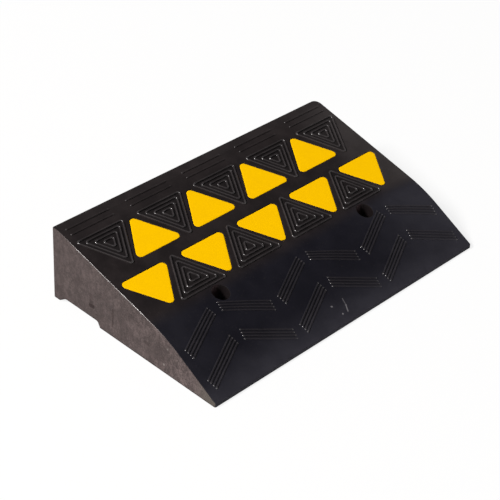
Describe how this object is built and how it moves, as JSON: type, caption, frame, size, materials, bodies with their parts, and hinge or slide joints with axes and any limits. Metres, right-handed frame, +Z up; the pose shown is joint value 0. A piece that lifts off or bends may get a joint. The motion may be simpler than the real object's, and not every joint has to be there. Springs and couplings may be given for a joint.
{
  "type": "rubber kerb ramp",
  "caption": "Moulded black rubber wedge that bridges a kerb, with yellow triangle inlays, raised tread ribs, sunk bolt holes and a drain channel underneath.",
  "frame": {"origin": "under the middle of the base, on the road", "axes": "+X along the kerb, +Y towards the kerb, +Z up"},
  "size_m": [0.5, 0.305, 0.1094],
  "materials": {
    "rubber": "moulded black rubber, slightly dusty",
    "inlay": "flat signal-yellow plastic"
  },
  "bodies": {
    "root": {"ramp_body": "rubber", "inlay_back_1": "inlay", "inlay_back_2": "inlay", "inlay_back_3": "inlay", "inlay_back_4": "inlay", "inlay_front_1": "inlay", "inlay_front_2": "inlay", "inlay_front_3": "inlay", "inlay_front_4": "inlay", "inlay_front_5": "inlay"}
  },
  "joints": []
}
